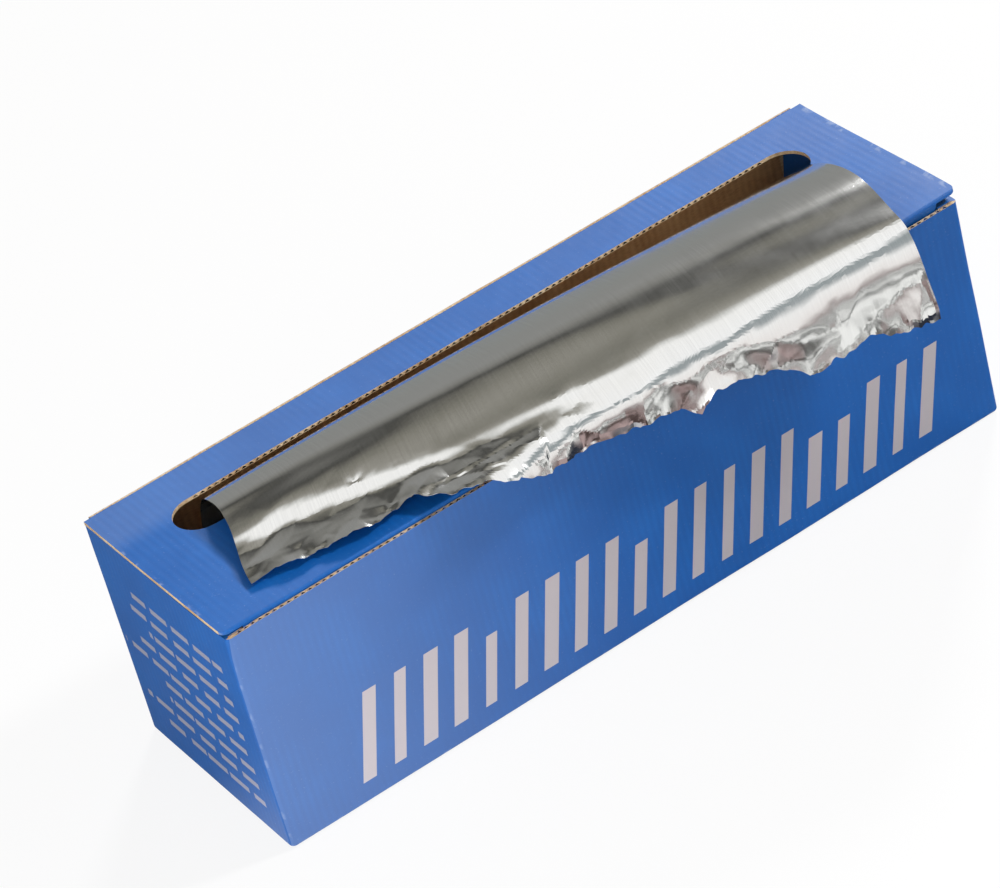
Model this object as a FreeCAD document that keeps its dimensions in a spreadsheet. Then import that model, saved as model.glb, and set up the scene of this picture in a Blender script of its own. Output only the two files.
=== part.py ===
import FreeCAD, Part
import math
import os

import Sketcher
from FreeCAD import Placement, Rotation, Vector

# A roll of aluminium foil in its corrugated dispenser carton, in millimetres.
# The origin is the centre of the base's underside, +X runs along the roll, -Y is the printed front, +Z is up.

SIZES = {
    "roll_width": (300.0, "width of the foil"),
    "roll_diameter": (90.0, "over the outer turn"),
    "roll_clearance": (0.05, "between the inner turn and the tube"),
    "roll_seat": (0.1, "between the outer turn and the base"),
    "roll_room_left": (38.0, "carton's left end to the roll"),
    "roll_room_right": (18.0, "roll to the carton's right end"),
    "roll_room_side": (9.5, "roll to the outside of the front wall, and of the rear wall"),
    "headroom": (14.5, "top of the roll to the raw top edge of the front wall"),
    "turn_step": (0.5, "unevenness of the turns at the roll's ends"),
    "core_bore": (36.0, "inside diameter of the paper tube"),
    "core_wall": (2.0, "its wall"),
    "core_overhang": (1.0, "how far the tube stands out of each end of the roll"),
    "board": (1.6, "thickness of the fluted board"),
    "corner_round": (2.4, "outside radius of the upright folds"),
    "base_round": (1.3, "outside radius of the folds along the base"),
    "end_strip": (8.5, "width of the strip folded over the top of each end wall"),
    "end_flap_depth": (36.0, "how far each end flap hangs below the strip"),
    "end_flap_lean": (7.0, "how far its lower edge leans inward"),
    "end_flap_gap": (0.5, "side clearance of the strip and flap between the long walls"),
    "fold_inset": (3.0, "where the lid's fold stops short of each end"),
    "fold_clearance": (0.15, "between the fold line's bead and the lid"),
    "lid_setback": (0.2, "between the front wall's inner face and the lid's front fold"),
    "lid_overhang": (1.5, "how far the lid stands past the right end"),
    "lid_corner": (3.5, "radius of the lid's front corners"),
    "lid_fold_round": (1.2, "outside radius of the fold into the tuck flap"),
    "tuck_depth": (25.0, "length of the tuck flap below the lid's top"),
    "tuck_lean": (4.0, "how far its lower edge leans to the rear"),
    "tuck_clearance": (0.8, "between the tuck flap and each end strip"),
    "tuck_taper": (9.0, "how far each end of the flap draws in at its lower edge"),
    "slot_width": (23.0, "across the slot"),
    "slot_behind_axis": (20.5, "the slot's middle behind the roll's axis"),
    "slot_past_roll": (14.0, "how far the slot's left end lies beyond the roll"),
    "slot_short": (2.0, "how far its right end stops short of the roll's end"),
    "flute_pitch": (3.3, "from one flute to the next"),
    "liner": (0.28, "thickness of the board's facings and of the fluted sheet"),
    "flute_mouth": (3.0, "how deep the open flutes are cut at a raw edge"),
    "web_thickness": (0.4, "of the drawn-out foil as a solid"),
    "web_gap": (0.6, "between the drawn-out foil and the roll where it leaves"),
}
# What follows from them.
DERIVED = {
    "carton_length": ("roll_room_left + roll_width + roll_room_right", "outside, along the roll"),
    "carton_width": ("roll_diameter + 2 * roll_room_side", "outside, from the front wall to the rear wall"),
    "carton_height": ("board + roll_seat + roll_diameter + headroom", "base to the front wall's raw top edge"),
    "slot_length": ("slot_past_roll + roll_width - slot_short", "over its rounded ends"),
    "slot_from_left": ("roll_room_left - slot_past_roll", "carton's left end to the slot's end"),
    "slot_from_front": ("carton_width / 2 + slot_behind_axis - slot_width / 2", "front face to the near edge"),
}

# The arch of the drawn-out foil at its left and right edges, from the slot to beyond the front of the carton.
# Each knot is a distance behind the front face, for a slot whose middle is ARCH_REACH behind it, and a height
# over the lid.
ARCH_REACH = 75.0
ARCH_LEFT = [(81.0, -0.3), (68.5, 6.4), (57.0, 8.8), (44.0, 7.2), (30.0, 3.7), (15.0, 1.8), (0.5, 1.5)]
ARCH_RIGHT = [(68.0, -0.3), (55.3, 6.8), (40.8, 12.2), (23.7, 15.5), (8.5, 14.1), (-3.7, 13.0), (-12.3, 10.6)]
# Below the front edge the foil hangs free: distance in front of the face, and height over the lid.
HANG_LEFT = [(4.0, -2.3), (5.5, -9.8), (6.5, -18.0)]
HANG_RIGHT = [(18.7, 1.8), (23.2, -11.7), (27.3, -28.0)]
KNOT_SPACING = 13.5  # the usual distance from one knot to the next
# How far each edge of the foil has moved from the roll's end, knot by knot: the foil is pulled a little to the left.
DRIFT_LEFT = [1.5, 0.0, -1.5, -5.0, -10.5, -14.5, -16.0, -17.0, -17.5, -18.0]
DRIFT_RIGHT = [-6.0, -6.6, -7.9, -10.1, -12.2, -14.6, -15.8, -16.7, -17.0, -17.0]
# In the middle of its width the foil arches higher, knot by knot, and up to the fourth knot further to the rear.
CROWN_UP = [1.7, 1.7, 2.7, 4.7, 4.5, 3.5, 1.0, 0.0, 0.0, 0.0]
CROWN_BACK = [2.7, 2.7, 2.7, 2.7, 0.0, 0.0, 0.0, 0.0, 0.0, 0.0]
# The torn edge of a sheet FOIL_WIDTH wide: distance from its left side, and length of foil drawn out of the slot.
FOIL_WIDTH = 300.0
TORN_EDGE = [
    (0.0, 69.3), (24.6, 72.6), (43.8, 76.7), (51.6, 78.5), (60.3, 75.9), (68.7, 76.4), (77.4, 83.7), (81.9, 88.4),
    (102.9, 93.8), (120.6, 99.6), (145.2, 102.8), (163.5, 104.1), (172.2, 105.9), (185.4, 108.6), (190.8, 113.0),
    (199.8, 107.7), (209.4, 107.8), (224.4, 113.1), (233.7, 115.6), (240.0, 121.9), (255.9, 120.7), (268.5, 119.2),
    (278.4, 122.1), (300.0, 126.6),
]
WEB_POINTS = 22  # points along each strip of the drawn-out foil
WEB_SAMPLES = 400  # places on its line that they are chosen from
WEB_BEND = 25.0  # millimetres of foil that count as much as a turn of one radian, so points crowd where it bends
HUG_ANGLE = math.radians(14)  # how long the foil still follows the roll before it leaves it


def size(name):
    """The value of a dimension in the sheet, as a number."""
    return float(SHEET.get(name))


def bind(item, prop, formula):
    """Ties a property to the sheet: a name between braces is a cell."""
    item.setExpression(prop, formula.replace("{", "Sizes.").replace("}", ""))


def new_body(name, label):
    """A body with a label of its own."""
    body = DOC.addObject("PartDesign::Body", name)
    body.Label = label
    return body


def new_sketch(body, name, plane, height=None):
    """A sketch on one of the body's own origin planes, raised to a height if one is given."""
    sketch = body.newObject("Sketcher::SketchObject", name)
    origin = next(f for f in body.Origin.OriginFeatures if f.Role == plane)
    sketch.AttachmentSupport = [(origin, "")]
    sketch.MapMode = "FlatFace"
    if height:
        bind(sketch, "AttachmentOffset.Base.z", height)
    return sketch


def pin(sketch, geometry, point, across=None, up=None):
    """Fixes a point of the sketch at bound distances from the origin, starting from where it was drawn."""
    drawn = sketch.getPoint(geometry, point)
    for kind, formula, start in (("DistanceX", across, drawn.x), ("DistanceY", up, drawn.y)):
        if formula:
            number = sketch.addConstraint(Sketcher.Constraint(kind, -1, 1, geometry, point, start))
            bind(sketch, f"Constraints[{number}]", formula)


def outline(sketch, corners):
    """A closed outline of straight lines, with each corner at two bound distances from the origin."""
    first = sketch.GeometryCount
    count = len(corners)
    for i in range(count):
        start, end = Vector(math.cos(i), math.sin(i)), Vector(math.cos(i + 1), math.sin(i + 1))
        sketch.addGeometry(Part.LineSegment(start * 50, end * 50))
    for i in range(count):
        sketch.addConstraint(Sketcher.Constraint("Coincident", first + i, 2, first + (i + 1) % count, 1))
    for i, (across, up) in enumerate(corners):
        pin(sketch, first + i, 1, across, up)


def rectangle(sketch, left, right, low, high):
    """A closed rectangle between bound distances."""
    outline(sketch, [(left, low), (right, low), (right, high), (left, high)])


def circle(sketch, diameter, drawn, centre=Vector(0, 0)):
    """A circle of bound diameter, drawn first at about its size and place."""
    geometry = sketch.addGeometry(Part.Circle(centre, Vector(0, 0, 1), drawn / 2))
    number = sketch.addConstraint(Sketcher.Constraint("Diameter", geometry, drawn))
    bind(sketch, f"Constraints[{number}]", diameter)
    return geometry


def feature(body, kind, name, sketch=None, **bound):
    """A feature of the body made from a sketch, with its sizes bound to the sheet."""
    made = body.newObject(kind, name)
    if sketch:
        made.Profile = sketch
    for prop, formula in bound.items():
        bind(made, prop, formula)
    return made


def edges_where(shape, test):
    """The names of a shape's edges whose two ends and middle pass the test."""
    names = []
    for i, edge in enumerate(shape.Edges, 1):
        middle = edge.valueAt((edge.FirstParameter + edge.LastParameter) / 2)
        if test([v.Point for v in edge.Vertexes] + [middle]):
            names.append(f"Edge{i}")
    return names


def round_edges(body, name, base, test, radius):
    """A fillet on the edges of the last feature that pass the test."""
    DOC.recompute()
    fillet = body.newObject("PartDesign::Fillet", name)
    fillet.Base = (base, edges_where(base.Shape, test))
    bind(fillet, "Radius", radius)
    return fillet


def near(value, target):
    """Whether two measures agree to a hundredth of a millimetre."""
    return abs(value - target) < 0.01


HALF_LENGTH = "{carton_length} / 2"
HALF_WIDTH = "{carton_width} / 2"
LID_TOP = "({carton_height} + {board})"
LID_FRONT = "(-{carton_width} / 2 + {board} + {lid_setback})"


def make_sheet():
    """The driving dimensions, one to a row."""
    sheet = DOC.addObject("Spreadsheet::Sheet", "Sizes")
    rows = [(alias, str(value), meaning) for alias, (value, meaning) in SIZES.items()]
    rows += [(alias, f"={formula}", meaning) for alias, (formula, meaning) in DERIVED.items()]
    for row, (alias, content, meaning) in enumerate(rows, 1):
        sheet.set(f"A{row}", meaning)
        sheet.set(f"B{row}", content)
        sheet.setAlias(f"B{row}", alias)
    DOC.recompute()
    return sheet


def flute_mouths(count):
    """The open ends of the flutes along a raw edge, as prisms that go down from z = 0.

    The edge runs from x = 0, and the board's thickness from y = 0. The fluted sheet rises and falls between the
    two facings once in every pitch, and the mouth is what it leaves open against the outer facing.
    """
    pitch, board, liner, depth = (size(n) for n in ("flute_pitch", "board", "liner", "flute_mouth"))
    mouths = []
    for i in range(count):
        start = i * pitch
        corners = [(start + liner, liner), (start + pitch - liner, liner), (start + pitch / 2, board - liner)]
        points = [Vector(x, y, 0) for x, y in corners]
        face = Part.Face(Part.makePolygon(points + points[:1]))
        mouths.append(face.extrude(Vector(0, 0, -depth)))
    return mouths


def flute_count(length):
    """How many whole flutes open along an edge of that length."""
    return int(length / size("flute_pitch")) - 1


def make_carton():
    """The folded box: four walls, base, end strips and end flaps, with open flutes along the front wall's top."""
    body = new_body("CartonFolded", "carton folded")
    footprint = new_sketch(body, "Footprint", "XY_Plane")
    rectangle(footprint, f"-{HALF_LENGTH}", HALF_LENGTH, f"-{HALF_WIDTH}", HALF_WIDTH)
    block = feature(body, "PartDesign::Pad", "Outside", footprint, Length="{carton_height}")

    half_width, height = size("carton_width") / 2, size("carton_height")
    half_length = size("carton_length") / 2
    upright = round_edges(
        body, "UprightFolds", block,
        lambda ps: all(near(abs(p.x), half_length) and near(abs(p.y), half_width) for p in ps), "{corner_round}",
    )
    base_folds = round_edges(body, "BaseFolds", upright, lambda ps: all(near(p.z, 0) for p in ps), "{base_round}")

    bay = new_sketch(body, "Bay", "XY_Plane", "{carton_height}")
    rectangle(
        bay, f"-{HALF_LENGTH} + {{board}}", f"{HALF_LENGTH} - {{board}}",
        f"-{HALF_WIDTH} + {{board}}", f"{HALF_WIDTH} - {{board}}",
    )
    inside = feature(body, "PartDesign::Pocket", "Inside", bay, Length="{carton_height} - {board}")
    DOC.recompute()
    if inside.Shape.Volume > base_folds.Shape.Volume / 2:
        raise RuntimeError("the inside wasn't cut out")

    ends = new_sketch(body, "EndFolds", "XZ_Plane")
    wall, edge = f"{HALF_LENGTH} - {{board}}", f"{HALF_LENGTH} - {{end_strip}}"
    foot = f"{edge} - {{end_flap_lean}}"
    top, under = "{carton_height}", "{carton_height} - {board}"
    low = "{carton_height} - {end_flap_depth}"
    for sign in ("", "-"):
        outline(ends, [
            (f"{sign}({wall})", top), (f"{sign}({edge})", top), (f"{sign}({foot})", low),
            (f"{sign}({foot} + {{board}})", low), (f"{sign}({edge} + {{board}})", under), (f"{sign}({wall})", under),
        ])
    flaps = feature(
        body, "PartDesign::Pad", "EndFlaps", ends, Length="{carton_width} - 2 * {board} - 2 * {end_flap_gap}"
    )
    flaps.Midplane = True

    bead = new_sketch(body, "FoldBead", "YZ_Plane")
    inner, outer = f"{HALF_WIDTH} - {{board}}", HALF_WIDTH
    axis_height = "{carton_height} + {board} / 2"
    rectangle(bead, inner, outer, "{carton_height} - {board}", axis_height)
    fold = feature(body, "PartDesign::Pad", "FoldLine", bead, Length="{carton_length} - 2 * {fold_inset}")
    fold.Midplane = True
    crest = new_sketch(body, "FoldCrest", "YZ_Plane")
    board = size("board")
    fold_axis = circle(crest, "{board}", board, Vector(half_width - board / 2, height + board / 2))
    pin(crest, fold_axis, 3, f"{HALF_WIDTH} - {{board}} / 2", axis_height)
    round_top = feature(body, "PartDesign::Pad", "FoldRound", crest, Length="{carton_length} - 2 * {fold_inset}")
    round_top.Midplane = True

    count = flute_count(2 * (half_length - size("corner_round")))
    mouths = Part.makeCompound(flute_mouths(count))
    cutter = DOC.addObject("Part::Feature", "FrontMouths")
    cutter.Shape = mouths
    cutter.Placement = Placement(Vector(-count * size("flute_pitch") / 2, -half_width, height), Rotation())
    cut = DOC.addObject("Part::Cut", "Carton")
    cut.Base, cut.Tool = body, cutter
    cut.Label = "carton"
    return cut


def make_lid():
    """The top panel with its dispensing slot and tuck flap, and open flutes along the slot's two long edges."""
    body = new_body("LidFolded", "lid folded")
    panel = new_sketch(body, "Panel", "XY_Plane", "{carton_height}")
    rear = f"{HALF_WIDTH} - {{board}} - {{fold_clearance}}"
    rectangle(panel, f"-{HALF_LENGTH}", f"{HALF_LENGTH} + {{lid_overhang}}", LID_FRONT, rear)
    top = feature(body, "PartDesign::Pad", "TopPanel", panel, Length="{board}")
    front = -size("carton_width") / 2 + size("board") + size("lid_setback")
    lid_top = size("carton_height") + size("board")
    half_length = size("carton_length") / 2
    corners = round_edges(
        body, "LidCorners", top,
        lambda ps: all(near(p.y, front) for p in ps) and (ps[0] - ps[1]).Length < 2 * size("board"), "{lid_corner}",
    )

    section = new_sketch(body, "TuckSection", "YZ_Plane")
    outline(section, [
        (LID_FRONT, "{carton_height}"), (f"{LID_FRONT} + {{tuck_lean}}", f"{LID_TOP} - {{tuck_depth}}"),
        (f"{LID_FRONT} + {{tuck_lean}} + {{board}}", f"{LID_TOP} - {{tuck_depth}}"),
        (f"{LID_FRONT} + {{board}}", "{carton_height}"), (f"{LID_FRONT} + {{board}}", f"{LID_TOP} - {{board}} / 2"),
        (LID_FRONT, f"{LID_TOP} - {{board}} / 2"),
    ])
    tuck = feature(
        body, "PartDesign::Pad", "TuckFlap", section,
        Length="{carton_length} - 2 * ({end_strip} + {tuck_clearance})",
    )
    tuck.Midplane = True

    trim = new_sketch(body, "TuckTaper", "XZ_Plane")
    edge = f"{HALF_LENGTH} - {{end_strip}} - {{tuck_clearance}}"
    low = f"{LID_TOP} - {{tuck_depth}} - {{board}}"
    for sign in ("", "-"):
        outline(trim, [
            (f"{sign}({edge})", "{carton_height} - {board}"), (f"{sign}({edge} - {{tuck_taper}})", low),
            (f"{sign}({edge} + {{board}})", low), (f"{sign}({edge} + {{board}})", "{carton_height} - {board}"),
        ])
    taper = feature(body, "PartDesign::Pocket", "Taper", trim)
    taper.Type = "ThroughAll"
    taper.Midplane = True

    slot = new_sketch(body, "SlotOutline", "XY_Plane", LID_TOP)
    near_edge = f"-{HALF_WIDTH} + {{slot_from_front}}"
    far_edge = f"{near_edge} + {{slot_width}}"
    left = f"-{HALF_LENGTH} + {{slot_from_left}} + {{slot_width}} / 2"
    right = f"-{HALF_LENGTH} + {{slot_from_left}} + {{slot_length}} - {{slot_width}} / 2"
    y0 = -size("carton_width") / 2 + size("slot_from_front")
    bow = size("slot_width") / 2
    x0 = -half_length + size("slot_from_left") + bow
    x1 = x0 + size("slot_length") - 2 * bow
    near_line = slot.addGeometry(Part.LineSegment(Vector(x0, y0), Vector(x1, y0)))
    far_line = slot.addGeometry(Part.LineSegment(Vector(x1, y0 + 2 * bow), Vector(x0, y0 + 2 * bow)))
    round_end = Part.Circle(Vector(x1, y0 + bow), Vector(0, 0, 1), bow)
    right_end = slot.addGeometry(Part.ArcOfCircle(round_end, -math.pi / 2, math.pi / 2))
    round_end = Part.Circle(Vector(x0, y0 + bow), Vector(0, 0, 1), bow)
    left_end = slot.addGeometry(Part.ArcOfCircle(round_end, math.pi / 2, 3 * math.pi / 2))
    for a, a_end, b, b_end in (
        (near_line, 2, right_end, 1), (right_end, 2, far_line, 1), (far_line, 2, left_end, 1),
        (left_end, 2, near_line, 1),
    ):
        slot.addConstraint(Sketcher.Constraint("Coincident", a, a_end, b, b_end))
    pin(slot, near_line, 1, left, near_edge)
    pin(slot, near_line, 2, right, near_edge)
    pin(slot, far_line, 1, right, far_edge)
    pin(slot, far_line, 2, left, far_edge)
    pin(slot, right_end, 3, right)
    pin(slot, left_end, 3, left)
    opening = feature(body, "PartDesign::Pocket", "Slot", slot, Length="2 * {board}")

    fold = new_sketch(body, "FrontFoldSection", "YZ_Plane")
    before, behind = f"{LID_FRONT} - {{lid_fold_round}}", f"{LID_FRONT} + {{lid_fold_round}}"
    below, above = f"{LID_TOP} - {{lid_fold_round}}", f"{LID_TOP} + {{lid_fold_round}}"
    r = size("lid_fold_round")
    corners = [(0, -r), (-r, -r), (-r, r), (r, r), (r, 0)]
    places = [Vector(front + across, lid_top + up) for across, up in corners]
    lines = [fold.addGeometry(Part.LineSegment(a, b)) for a, b in zip(places, places[1:])]
    round_fold = Part.Circle(Vector(front + r, lid_top - r), Vector(0, 0, 1), r)
    bend = fold.addGeometry(Part.ArcOfCircle(round_fold, math.pi / 2, math.pi))
    for a, b in zip(lines, lines[1:] + [bend]):
        fold.addConstraint(Sketcher.Constraint("Coincident", a, 2, b, 1))
    fold.addConstraint(Sketcher.Constraint("Coincident", bend, 2, lines[0], 1))
    for geometry, across, up in (
        (lines[0], LID_FRONT, below), (lines[1], before, below), (lines[2], before, above), (lines[3], behind, above),
        (bend, behind, LID_TOP),
    ):
        pin(fold, geometry, 1, across, up)
    pin(fold, bend, 3, behind)
    folded = feature(body, "PartDesign::Pocket", "FrontFold", fold)
    folded.Type = "ThroughAll"
    folded.Midplane = True
    DOC.recompute()
    if folded.Shape.Volume > top.Shape.Volume + tuck.Shape.Volume:
        raise RuntimeError("the slot wasn't cut out")

    straight = size("slot_length") - size("slot_width")
    count = flute_count(straight)
    run = count * size("flute_pitch")
    centre_x = -half_length + size("slot_from_left") + size("slot_length") / 2
    near_y = -size("carton_width") / 2 + size("slot_from_front")
    base = flute_mouths(count)
    # the mouths go down from their own z = 0, so a quarter turn makes them go back from the slot's edge
    near_side = Placement(Vector(centre_x - run / 2, near_y, lid_top), Rotation(Vector(1, 0, 0), -90))
    far_side = Placement(
        Vector(centre_x - run / 2, near_y + size("slot_width"), size("carton_height")), Rotation(Vector(1, 0, 0), 90)
    )
    mouths = []
    for place in (near_side, far_side):
        for mouth in base:
            moved = mouth.copy()
            moved.Placement = place
            mouths.append(moved)
    cutter = DOC.addObject("Part::Feature", "SlotMouths")
    cutter.Shape = Part.makeCompound(mouths)
    cut = DOC.addObject("Part::Cut", "Lid")
    cut.Base, cut.Tool = body, cutter
    cut.Label = "lid"
    return cut


def roll_centre():
    """The middle of the roll's axis, as it rests on the base."""
    left = -size("carton_length") / 2 + size("roll_room_left")
    height = size("board") + size("roll_seat") + size("roll_diameter") / 2
    return Vector(left + size("roll_width") / 2, 0, height)


def make_core():
    """The paper tube."""
    body = new_body("CoreTube", "core")
    ring = new_sketch(body, "TubeSection", "YZ_Plane")
    bore = size("core_bore")
    for diameter, drawn in (("{core_bore} + 2 * {core_wall}", bore + 2 * size("core_wall")), ("{core_bore}", bore)):
        tube_wall = circle(ring, diameter, drawn)
        ring.addConstraint(Sketcher.Constraint("Coincident", tube_wall, 3, -1, 1))
    tube = feature(body, "PartDesign::Pad", "Tube", ring, Length="{roll_width} + 2 * {core_overhang}")
    tube.Midplane = True
    return body


def make_roll():
    """The wound turns: a ring whose ends step in and out as the turns wander."""
    body = new_body("FoilTurns", "foil_roll")
    sketch = new_sketch(body, "TurnsSection", "XY_Plane")
    bore = "({core_bore} / 2 + {core_wall} + {roll_clearance})"
    outer = "{roll_diameter} / 2"
    groups = 3
    ends = []
    for i in range(groups):
        inset = "{turn_step}" if i % 2 else "0 * {turn_step}"
        for share in (i, i + 1):
            ends.append((f"{{roll_width}} / 2 - {inset}", f"{bore} + ({outer} - {bore}) * {share} / {groups}"))
    mirrored = [(f"-({across})", up) for across, up in reversed(ends)]
    outline(sketch, ends + mirrored)
    turns = body.newObject("PartDesign::Revolution", "Turns")
    turns.Profile = sketch
    turns.ReferenceAxis = (sketch, ["H_Axis"])
    turns.Angle = 360
    return body


def arch_knots(share):
    """The drawn-out foil's line at a share of its width: off the roll, up through the slot, over and down.

    Gives the knots and their places along the line, counted in knots from the slot.
    """
    centre = roll_centre()
    half_width, lid_top = size("carton_width") / 2, size("carton_height") + size("board")
    reach = (size("slot_from_front") + size("slot_width") / 2) / ARCH_REACH
    left_end, right_end = (centre.x + side * size("roll_width") / 2 for side in (-1, 1))

    def mix(a, b):
        return a + (b - a) * share

    left = [(d * reach, z) for d, z in ARCH_LEFT] + [(-d, z) for d, z in HANG_LEFT]
    right = [(d * reach, z) for d, z in ARCH_RIGHT] + [(-d, z) for d, z in HANG_RIGHT]
    crown = 4 * share * (1 - share)
    beyond = []
    for (d0, z0), (d1, z1), drift0, drift1, back, up in zip(
        left, right, DRIFT_LEFT, DRIFT_RIGHT, CROWN_BACK, CROWN_UP
    ):
        beyond.append(Vector(
            mix(left_end + drift0, right_end + drift1),
            mix(d0, d1) - half_width + crown * back,
            lid_top + mix(z0, z1) + crown * up,
        ))
    # the straight run from the slot down to where it touches the roll, on the rear side
    slot_point = beyond[0]
    radius = size("roll_diameter") / 2 + size("web_gap") + size("web_thickness") / 2
    across, up = slot_point.y - centre.y, slot_point.z - centre.z
    touch = math.atan2(up, across) - math.acos(radius / math.hypot(across, up))
    start_x = mix(left_end, right_end)
    on_roll = [
        Vector(start_x, centre.y + radius * math.cos(a), centre.z + radius * math.sin(a))
        for a in (touch - HUG_ANGLE, touch)
    ]
    below = on_roll + [(on_roll[1] + slot_point) * 0.5]
    places = [float(i) for i in range(len(beyond))]
    for lower, upper in zip(reversed(below), reversed(below[1:] + [slot_point])):
        places.insert(0, places[0] - (upper - lower).Length / KNOT_SPACING)
    return below + beyond, places


def strip_points(share, drawn):
    """Points along the foil's line up to the torn edge, closer where it bends, and the foil's normal at each."""
    knots, stops = arch_knots(share)
    curve = Part.BSplineCurve()
    curve.interpolate(Points=knots, Parameters=stops)
    start, end = stops[0], curve.parameterAtDistance(drawn, 0.0)
    fine = [start + (end - start) * i / WEB_SAMPLES for i in range(WEB_SAMPLES + 1)]
    places = [curve.value(p) for p in fine]
    along = [curve.tangent(p)[0] for p in fine]
    reach = [0.0]
    for i in range(WEB_SAMPLES):
        reach.append(reach[-1] + (places[i + 1] - places[i]).Length + WEB_BEND * along[i].getAngle(along[i + 1]))
    points, normals = [], []
    for i in range(WEB_POINTS):
        goal = reach[-1] * i / (WEB_POINTS - 1)
        nearest = min(range(WEB_SAMPLES + 1), key=lambda k: abs(reach[k] - goal))
        points.append(places[nearest])
        normals.append(Vector(0, -along[nearest].z, along[nearest].y).normalize())
    return points, normals


def triangle(a, b, c):
    """A flat three-cornered face."""
    return Part.Face(Part.makePolygon([a, b, c, a]))


def patches(first, second):
    """The faces between two rows of points, two to each cell."""
    faces = []
    for a, b, c, d in zip(first, first[1:], second[1:], second):
        faces += [triangle(a, b, c), triangle(a, c, d)]
    return faces


def make_web():
    """The drawn-out foil: a thin curved sheet, laid between strips whose ends make the torn edge."""
    half = size("web_thickness") / 2
    tops, bottoms = [], []
    for across, drawn in TORN_EDGE:
        points, normals = strip_points(across / FOIL_WIDTH, drawn)
        tops.append([p + n * half for p, n in zip(points, normals)])
        bottoms.append([p - n * half for p, n in zip(points, normals)])
    faces = []
    for rows in (tops, bottoms):
        for first, second in zip(rows, rows[1:]):
            faces += patches(first, second)
    for end in (0, -1):
        faces += patches([row[end] for row in tops], [row[end] for row in bottoms])
        faces += patches(tops[end], bottoms[end])
    shell = Part.makeShell(faces)
    shell.sewShape()
    solid = Part.makeSolid(shell)
    if solid.Volume < 0:
        solid.reverse()
    web = DOC.addObject("Part::Feature", "DrawnFoil")
    web.Shape = solid
    web.Label = "foil_web"
    return web


def check(items):
    """Stops if anything failed, or if a sub-part isn't one valid solid."""
    DOC.recompute()
    for item in DOC.Objects:
        if "Invalid" in item.State or "Error" in item.State:
            raise RuntimeError(f"{item.Label} failed: {item.State}")
    for item in items:
        shape = item.Shape
        if shape.isNull() or not shape.isValid() or len(shape.Solids) != 1:
            raise RuntimeError(f"{item.Label} isn't one valid solid")


DOC = FreeCAD.newDocument("FoilDispenser")
SHEET = make_sheet()
carton, lid = make_carton(), make_lid()
core, roll, web = make_core(), make_roll(), make_web()
for wound in (core, roll):
    wound.Placement = Placement(roll_centre(), Rotation())
check([carton, lid, core, roll, web])
os.makedirs("parts", exist_ok=True)
for node in (carton, lid, core, roll, web):
    node.Shape.exportStep(os.path.join("parts", f"{node.Label}.step"))
    box = node.Shape.BoundBox
    print(f"{node.Label}: {node.Shape.Volume:.0f} mm3, x {box.XMin:.2f} to {box.XMax:.2f}, "
          f"y {box.YMin:.2f} to {box.YMax:.2f}, z {box.ZMin:.2f} to {box.ZMax:.2f}")
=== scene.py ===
"""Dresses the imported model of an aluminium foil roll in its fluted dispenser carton.

Every size is in metres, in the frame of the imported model. Tables that repeat the
part's own are in millimetres and say so.
"""

import logging
import math
import random
from dataclasses import dataclass
from enum import IntEnum
from typing import Callable, Iterable, NamedTuple, Sequence

import bpy
import numpy as np
from mathutils import Matrix, Vector, noise
from mathutils.geometry import delaunay_2d_cdt

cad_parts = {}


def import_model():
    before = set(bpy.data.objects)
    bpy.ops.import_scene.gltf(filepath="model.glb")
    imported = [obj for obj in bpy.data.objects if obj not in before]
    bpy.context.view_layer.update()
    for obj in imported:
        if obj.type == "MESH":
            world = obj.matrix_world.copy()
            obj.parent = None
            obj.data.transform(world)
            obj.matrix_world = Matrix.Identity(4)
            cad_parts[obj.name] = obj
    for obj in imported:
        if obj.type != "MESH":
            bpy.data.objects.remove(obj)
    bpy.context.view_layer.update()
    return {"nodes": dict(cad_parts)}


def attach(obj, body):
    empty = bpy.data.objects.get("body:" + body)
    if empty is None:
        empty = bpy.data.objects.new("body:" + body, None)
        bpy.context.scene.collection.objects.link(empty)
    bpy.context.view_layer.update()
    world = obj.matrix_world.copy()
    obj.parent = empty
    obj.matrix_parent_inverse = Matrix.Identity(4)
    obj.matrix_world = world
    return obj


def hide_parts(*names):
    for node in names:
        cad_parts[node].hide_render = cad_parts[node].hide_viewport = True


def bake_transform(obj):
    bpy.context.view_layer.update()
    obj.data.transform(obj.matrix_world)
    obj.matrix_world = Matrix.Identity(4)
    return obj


LOG = logging.getLogger("foil_carton")
MM = 0.001
HALF_LENGTH = 0.178
HALF_WIDTH = 0.0545
HEIGHT = 0.1078
ROLL_AXIS = 0.0467
FLUTE_PITCH = 0.0033
SRGB_KNEE = 0.04045

Socket = bpy.types.NodeSocket
Colour = tuple[float, float, float]
Grid = np.ndarray
WHITE = (1.0, 1.0, 1.0)
WAVINESS_SEED = 12


def ink(red: int, green: int, blue: int) -> Colour:
    """Turns a colour given as 0 to 255 into the linear one that shaders take.

    Args:
        red: The red part.
        green: The green part.
        blue: The blue part.

    Returns:
        The linear colour.
    """
    parts = []
    for part in (red, green, blue):
        share = part / 255
        parts.append(share / 12.92 if share < SRGB_KNEE else ((share + 0.055) / 1.055) ** 2.4)
    return tuple(parts)


# node graphs


class Place(NamedTuple):
    """Object coordinates, as a vector, along the carton, from front to rear and upwards."""

    vector: Socket
    x: Socket
    y: Socket
    z: Socket


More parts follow.
